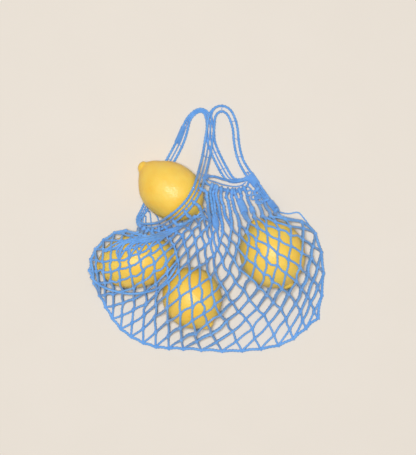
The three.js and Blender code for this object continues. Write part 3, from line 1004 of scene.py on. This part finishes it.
draw_cords = cords("draw_cords", gathers, net_cotton, radius=DRAW_CORD)
fold_cord = cords("fold_cord", [laid(FOLD, FOLD_LIFT)], net_cotton, radius=FOLD_CORD)
wound = [bound(*tie) for tie in (*TIES, SINGLE_TIE)]
wrappings = cords("wrappings", wound + tangles, net_cotton, radius=WRAPPING, spacing=0.9, **ROUND)
shoulder_thread = cords("shoulder_thread", [curve(SHOULDER, 10)], net_cotton, radius=SHOULDER_CORD)
edge_path = lifted(edge_points(), front_height)
edge_path = eased(edge_path, front_edge[0, 2], loop_edges[0][-1, 2], CORNER_POINTS)
edge_cord = cords("edge_cord", [edge_path], net_cotton, radius=EDGE_ROUND, spacing=1.1)

# %% [markdown]
# ## Lemons
#
# A lemon is a barrel with a nipple at one end and a short neck at the other. Its outline is a body curve
# with two small knobs blended in, and it is never quite round. The nipple of the lemon in the mouth leans
# to one side.

# %% The outline of a lemon, in shares of half its length and half its width
STEM_END = -0.98
BODY_END = 0.9
BODY_POWERS = (2.2, 0.55)  # they make the body a barrel
NIPPLE = (0.84, 0.16, 0.24)  # where its middle is, and half its length and half its width
NECK = (-0.86, 0.12, 0.2)
BLEND = 4  # how sharp the turns between them are


def lemon_radius(place, half_width):
    """Half the thickness of a lemon at places along it."""
    inner, outer = BODY_POWERS
    body = half_width * np.clip(1 - np.abs(place / BODY_END) ** inner, 0, None) ** outer

    def knob(at, reach, share):
        return half_width * share * np.sqrt(np.clip(1 - ((place - at) / reach) ** 2, 0, None))

    return (body**BLEND + knob(*NIPPLE) ** BLEND + knob(*NECK) ** BLEND) ** (1 / BLEND)


print(f"half way to its tip, a lemon is {lemon_radius(0.5, 1):.2f} as thick")

# %% Uneven skin, and the place where a lemon lies
RIPPLE_WAVES = 14
DENTS = [(0.5, 30), (0.3, 11), (0.14, 5)]  # how deep they are and how far across
SUNK = 0.35  # how far all of the skin is sunk, so that its swells stand out less


def ripple(points, size, seed):
    """A smooth random field: waves of about one size, from all directions."""
    draw = np.random.default_rng(seed)
    directions = unit(draw.normal(size=(RIPPLE_WAVES, 3)))
    shifts = draw.uniform(0, math.tau, RIPPLE_WAVES)
    return np.sin(points @ directions.T * math.tau / size + shifts).mean(axis=1)


def in_place(points, lemon):
    """Points of a lemon that points along X, turned and put where the lemon lies."""
    turn = math.radians(lemon["turn"])
    spin = np.array([[math.cos(turn), -math.sin(turn), 0], [math.sin(turn), math.cos(turn), 0], [0, 0, 1]])
    return points @ spin.T + [lemon["x"], lemon["y"], lemon["diameter"] / 2 + LEMON_BASE]


print("dents, depth and breadth in mm:", DENTS)

# %% The four lemons
STATIONS = 150
SIDES = 180
TIP_STARTS = 0.6  # share of half the length at which the drawn-out tip begins
SEEDS = 10  # random seeds kept for each lemon


def lemon_part(lemon, seed):
    """Points and faces of one lemon."""
    half_width, half_length = lemon["diameter"] / 2, lemon["length"] / 2
    sweep = (1 - np.cos(np.linspace(0, math.pi, STATIONS + 1))) / 2
    place = STEM_END + (1 - STEM_END) * sweep[1:-1]
    radius = lemon_radius(place, half_width)
    angle = np.arange(SIDES) * math.tau / SIDES
    rings = [radius[:, None] * wave(angle) for wave in (np.cos, np.sin)]
    skin = np.stack(np.broadcast_arrays(place[:, None] * half_length, *rings), axis=2).reshape(-1, 3)
    dents = sum(depth * ripple(skin, size, seed + i) for i, (depth, size) in enumerate(DENTS))
    skin[:, 1:] *= (1 + (dents - SUNK) / half_width)[:, None]
    near_tip = smooth((skin[:, 0] / half_length - TIP_STARTS) / (1 - TIP_STARTS))
    drawn_out, aside = lemon["tip"]
    skin += np.outer(near_tip, (drawn_out, aside, 0))
    tips = np.array([[STEM_END * half_length, 0, 0], [half_length + drawn_out, aside, 0]])
    return in_place(np.concatenate([skin, tips]), lemon), *tube_faces(len(place), SIDES)


lemons = {
    name: mesh_object(f"lemon_{name}_fruit", [lemon_part(lemon, SEEDS * i)], waxy_peel)
    for i, (name, lemon) in enumerate(LEMONS.items())
}

# %% [markdown]
# ## The calyx
#
# Where the fruit was cut from its stalk, a dry star of five lobes stays on its neck. It is a flat button
# here, a few rings that follow the round of the neck and stand half a millimetre off it.

# %% The brown of a dry stalk
BROWNS = [(0.35, (0.12, 0.10, 0.03)), (0.7, (0.30, 0.27, 0.08))]

stalk_brown, tree, shader, place = blotched("stalk_brown", 1.5, 3, BROWNS, {"Roughness": 0.8})
grain = bump(tree, noise(tree, place, size_mm=0.6, detail=3), distance_mm=0.2, strength=0.6)
tree.links.new(grain, shader.inputs["Normal"])

# %% A five-lobed button on the neck of every lemon
CALYX_RADIUS = 2.9
CALYX_LOBE = 0.5
CALYX_LOBES = 5
CALYX_PROUD = 0.55  # how far it stands off the neck
CALYX_SIDES = 40
CALYX_RINGS = [  # share of its radius, and of how far it stands off the neck
    (0.25, 0.35), (0.3, 1), (0.75, 1), (0.95, 0.7), (1, 0), (0.9, -0.6),
]
CALYX_BACK = -0.9  # where it ends in the neck, as a share of half the length


def calyx_part(lemon):
    """Points and faces of the button of one lemon."""
    neck_at, neck_reach, neck_share = NECK
    half_width, half_length = lemon["diameter"] / 2, lemon["length"] / 2
    angle = np.arange(CALYX_SIDES) * math.tau / CALYX_SIDES
    lobed = CALYX_RADIUS + CALYX_LOBE * np.cos(CALYX_LOBES * angle)
    rings = []
    for share, proud in CALYX_RINGS:
        out = lobed * share
        neck = -neck_at + neck_reach * np.sqrt(1 - (out / (neck_share * half_width)) ** 2)
        rings.append(np.column_stack([
            -neck * half_length - proud * CALYX_PROUD, out * np.cos(angle), out * np.sin(angle)]))
    middle = np.array([[STEM_END * half_length - 0.1, 0, 0], [CALYX_BACK * half_length, 0, 0]])
    return in_place(np.concatenate([*rings, middle]), lemon), *tube_faces(len(rings), CALYX_SIDES)


calyxes = mesh_object("calyxes", [calyx_part(lemon) for lemon in LEMONS.values()], stalk_brown)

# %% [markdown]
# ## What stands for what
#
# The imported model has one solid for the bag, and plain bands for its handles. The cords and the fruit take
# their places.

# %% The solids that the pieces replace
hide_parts("net_bag")
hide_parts("net_back")
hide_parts("handle_front", "handle_back")
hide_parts("hem_front")
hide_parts("lemon_mouth")
print("in the places of solids:", net_front.name, net_floor.name, handles.name, hem.name)

# %% [markdown]
# ## Floor and light
#
# A pale floor, and one light high above the bag, close beside the camera. From there nearly every shadow
# hides behind the cord that throws it, and a faint surround softens the rest.

# %% The floor
FLOOR_SIDE = 6  # metres
PAINTS = [(0, (0.78, 0.715, 0.635)), (1, (0.80, 0.735, 0.655))]

floor_paint = blotched("floor_paint", 60, 2, PAINTS, {"Roughness": 0.9, "Specular IOR Level": 0.1})[0]
bpy.ops.mesh.primitive_plane_add(size=FLOOR_SIDE)
floor = bpy.context.object
floor.name = "floor"
floor.data.materials.append(floor_paint)
print(f"floor: {FLOOR_SIDE} m square")

# %% The light, and the even surround
KEY_PLACE = (-0.08, 0.07, 2.9)
KEY_SIZE = 0.36
KEY_POWER = 69
SURROUND = 0.22

world = bpy.data.worlds.new("surround")
world.use_nodes = True
background = world.node_tree.nodes["Background"]
background.inputs["Color"].default_value = (1, 1, 1, 1)
background.inputs["Strength"].default_value = SURROUND
scene.world = world
scene.view_settings.view_transform = "Standard"

x, y, z = KEY_PLACE / np.linalg.norm(KEY_PLACE)
facing = (math.acos(z), 0, math.atan2(x, -y))
bpy.ops.object.light_add(type="AREA", location=KEY_PLACE, rotation=facing)
key = bpy.context.object
key.name = "key"
key.data.size = KEY_SIZE
key.data.energy = KEY_POWER
print(f"key light: {KEY_POWER} W, {KEY_SIZE} m across")
